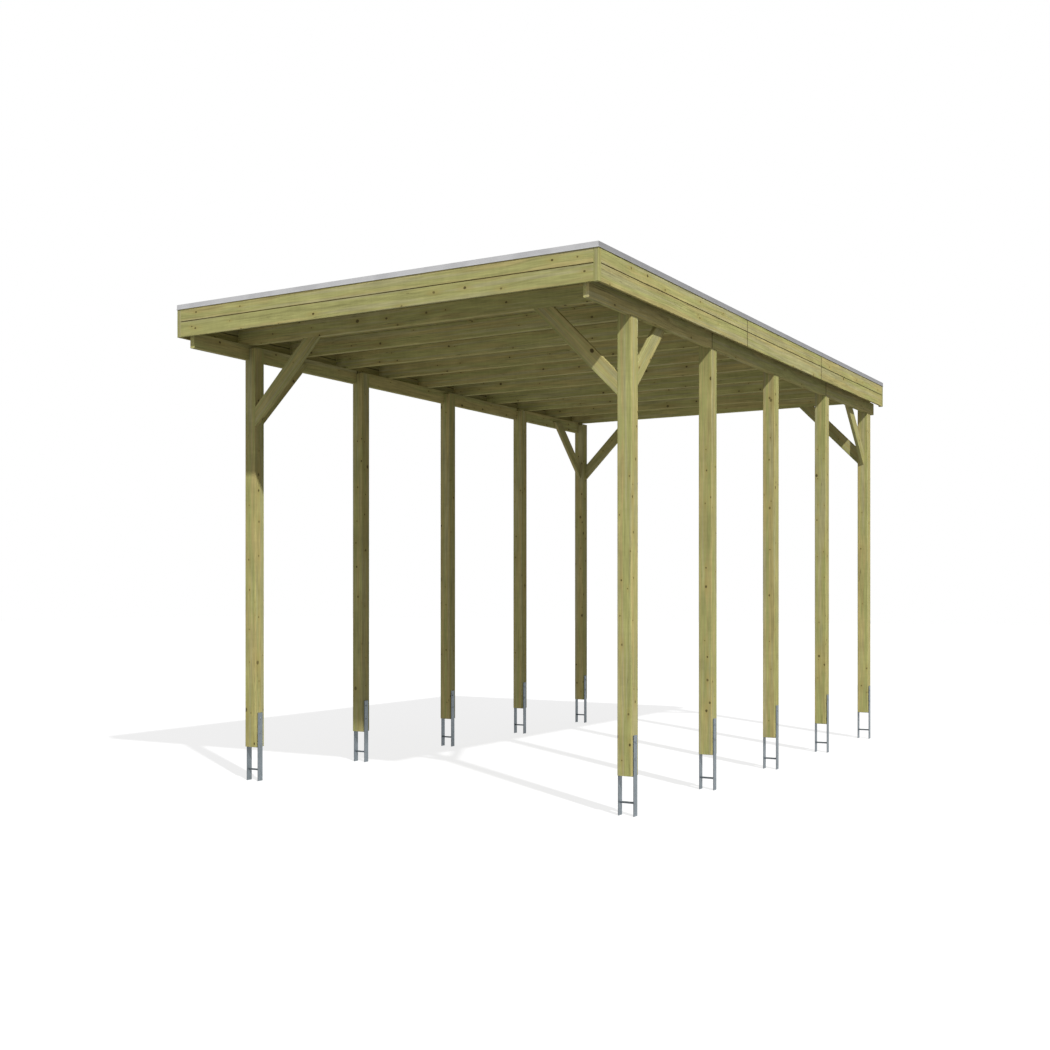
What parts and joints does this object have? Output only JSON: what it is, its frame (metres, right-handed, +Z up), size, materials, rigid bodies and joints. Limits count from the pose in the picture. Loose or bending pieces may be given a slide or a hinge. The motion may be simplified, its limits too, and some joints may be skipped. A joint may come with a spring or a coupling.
{
  "type": "flat-roofed timber carport",
  "caption": "Tall open flat-roofed carport: notched square posts in steel anchors, purlins, rafters, corner braces, boarded fascia.",
  "frame": {"origin": "level of the anchors' lower ends, under the middle of the roof", "axes": "+X across the bay to the right seen from the front, +Y from the long front overhang to the rear, +Z up"},
  "size_m": [3.982, 7.092, 4.064],
  "materials": {
    "timber": "planed softwood, green pressure treatment, dry",
    "fascia_timber": "planed softwood boards, green pressure treatment, dry",
    "deck_timber": "sawn roof boards",
    "roof_membrane": "matt dark sheet",
    "edge_trim": "mill finish, slightly dulled",
    "galvanised_steel": "hot-dip galvanised"
  },
  "bodies": {
    "root": {"corner_battens": "fascia_timber", "edge_trim": "edge_trim", "end_rafters": "timber", "front_fascia": "fascia_timber", "left_fascia": "fascia_timber", "left_front_cross_brace": "timber", "left_front_long_brace": "timber", "left_post_1": "timber", "left_post_2": "timber", "left_post_3": "timber", "left_post_4": "timber", "left_post_5": "timber", "left_purlin_1": "timber", "left_purlin_2": "timber", "left_purlin_3": "timber", "left_rear_cross_brace": "timber", "left_rear_long_brace": "timber", "left_row_anchors": "galvanised_steel", "rafter_1": "timber", "rafter_10": "timber", "rafter_2": "timber", "rafter_3": "timber", "rafter_4": "timber", "rafter_5": "timber", "rafter_6": "timber", "rafter_7": "timber", "rafter_8": "timber", "rafter_9": "timber", "rear_fascia": "fascia_timber", "right_fascia": "fascia_timber", "right_front_cross_brace": "timber", "right_front_long_brace": "timber", "right_post_1": "timber", "right_post_2": "timber", "right_post_3": "timber", "right_post_4": "timber", "right_post_5": "timber", "right_purlin_1": "timber", "right_purlin_2": "timber", "right_purlin_3": "timber", "right_rear_cross_brace": "timber", "right_rear_long_brace": "timber", "right_row_anchors": "galvanised_steel", "roof_covering": "roof_membrane", "roof_deck": "deck_timber", "upstand_battens": "timber"}
  },
  "joints": []
}
